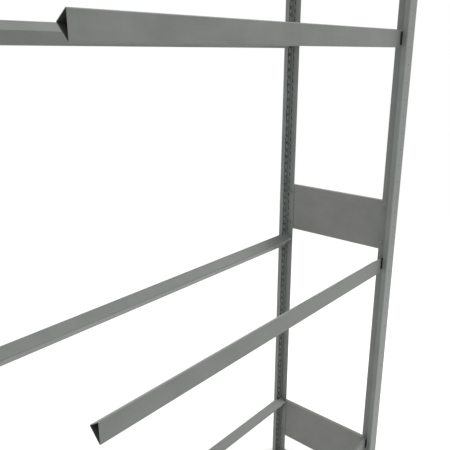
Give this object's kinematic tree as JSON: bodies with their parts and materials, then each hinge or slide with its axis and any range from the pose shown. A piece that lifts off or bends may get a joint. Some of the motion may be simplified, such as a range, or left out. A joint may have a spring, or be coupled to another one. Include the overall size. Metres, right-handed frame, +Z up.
{
  "type": "tyre rack add-on bay",
  "caption": "Boltless add-on bay of a tyre rack: a perforated T-post end frame with side panels carries pairs of hollow triangular beams that end open.",
  "frame": {"origin": "on the floor, under the middle of the overall box", "axes": "+Z up, +X along the beams towards the end frame, +Y from the front beams to the rear beams"},
  "size_m": [1.1806, 0.43, 2.1],
  "materials": {
    "frame_paint": "satin grey powder coat on roll-formed steel",
    "panel_paint": "satin grey powder coat on folded steel sheet",
    "beam_paint": "satin grey powder coat on steel tube",
    "connector_paint": "satin grey powder coat on pressed steel",
    "foot_paint": "satin grey powder coat on steel plate",
    "bolt_zinc": "zinc-plated steel"
  },
  "bodies": {
    "frame": {"front_post": "frame_paint", "rear_post": "frame_paint", "front_foot_plate": "foot_paint", "rear_foot_plate": "foot_paint", "lower_side_panel": "panel_paint", "middle_side_panel": "panel_paint", "upper_side_panel": "panel_paint", "lower_panel_front_bottom_bolt": "bolt_zinc", "lower_panel_front_top_bolt": "bolt_zinc", "lower_panel_rear_bottom_bolt": "bolt_zinc", "lower_panel_rear_top_bolt": "bolt_zinc", "middle_panel_front_bottom_bolt": "bolt_zinc", "middle_panel_front_top_bolt": "bolt_zinc", "middle_panel_rear_bottom_bolt": "bolt_zinc", "middle_panel_rear_top_bolt": "bolt_zinc", "upper_panel_front_bottom_bolt": "bolt_zinc", "upper_panel_front_top_bolt": "bolt_zinc", "upper_panel_rear_bottom_bolt": "bolt_zinc", "upper_panel_rear_top_bolt": "bolt_zinc", "lower_panel_front_bottom_nut": "bolt_zinc", "lower_panel_front_top_nut": "bolt_zinc", "lower_panel_rear_bottom_nut": "bolt_zinc", "lower_panel_rear_top_nut": "bolt_zinc", "middle_panel_front_bottom_nut": "bolt_zinc", "middle_panel_front_top_nut": "bolt_zinc", "middle_panel_rear_bottom_nut": "bolt_zinc", "middle_panel_rear_top_nut": "bolt_zinc", "upper_panel_front_bottom_nut": "bolt_zinc", "upper_panel_front_top_nut": "bolt_zinc", "upper_panel_rear_bottom_nut": "bolt_zinc", "upper_panel_rear_top_nut": "bolt_zinc"},
    "level_1_front": {"level_1_front_beam": "beam_paint", "level_1_front_connector": "connector_paint"},
    "level_1_rear": {"level_1_rear_beam": "beam_paint", "level_1_rear_connector": "connector_paint"},
    "level_2_front": {"level_2_front_beam": "beam_paint", "level_2_front_connector": "connector_paint"},
    "level_2_rear": {"level_2_rear_beam": "beam_paint", "level_2_rear_connector": "connector_paint"},
    "level_3_front": {"level_3_front_beam": "beam_paint", "level_3_front_connector": "connector_paint"},
    "level_3_rear": {"level_3_rear_beam": "beam_paint", "level_3_rear_connector": "connector_paint"}
  },
  "joints": [
    {"name": "level_1_front_lift", "type": "slide", "parent": "frame", "child": "level_1_front", "axis": [0, 0, 1], "range_m": [0, 0.0064]},
    {"name": "level_1_rear_lift", "type": "slide", "parent": "frame", "child": "level_1_rear", "axis": [0, 0, 1], "range_m": [0, 0.0064]},
    {"name": "level_2_front_lift", "type": "slide", "parent": "frame", "child": "level_2_front", "axis": [0, 0, 1], "range_m": [0, 0.0064]},
    {"name": "level_2_rear_lift", "type": "slide", "parent": "frame", "child": "level_2_rear", "axis": [0, 0, 1], "range_m": [0, 0.0064]},
    {"name": "level_3_front_lift", "type": "slide", "parent": "frame", "child": "level_3_front", "axis": [0, 0, 1], "range_m": [0, 0.0064]},
    {"name": "level_3_rear_lift", "type": "slide", "parent": "frame", "child": "level_3_rear", "axis": [0, 0, 1], "range_m": [0, 0.0064]}
  ]
}
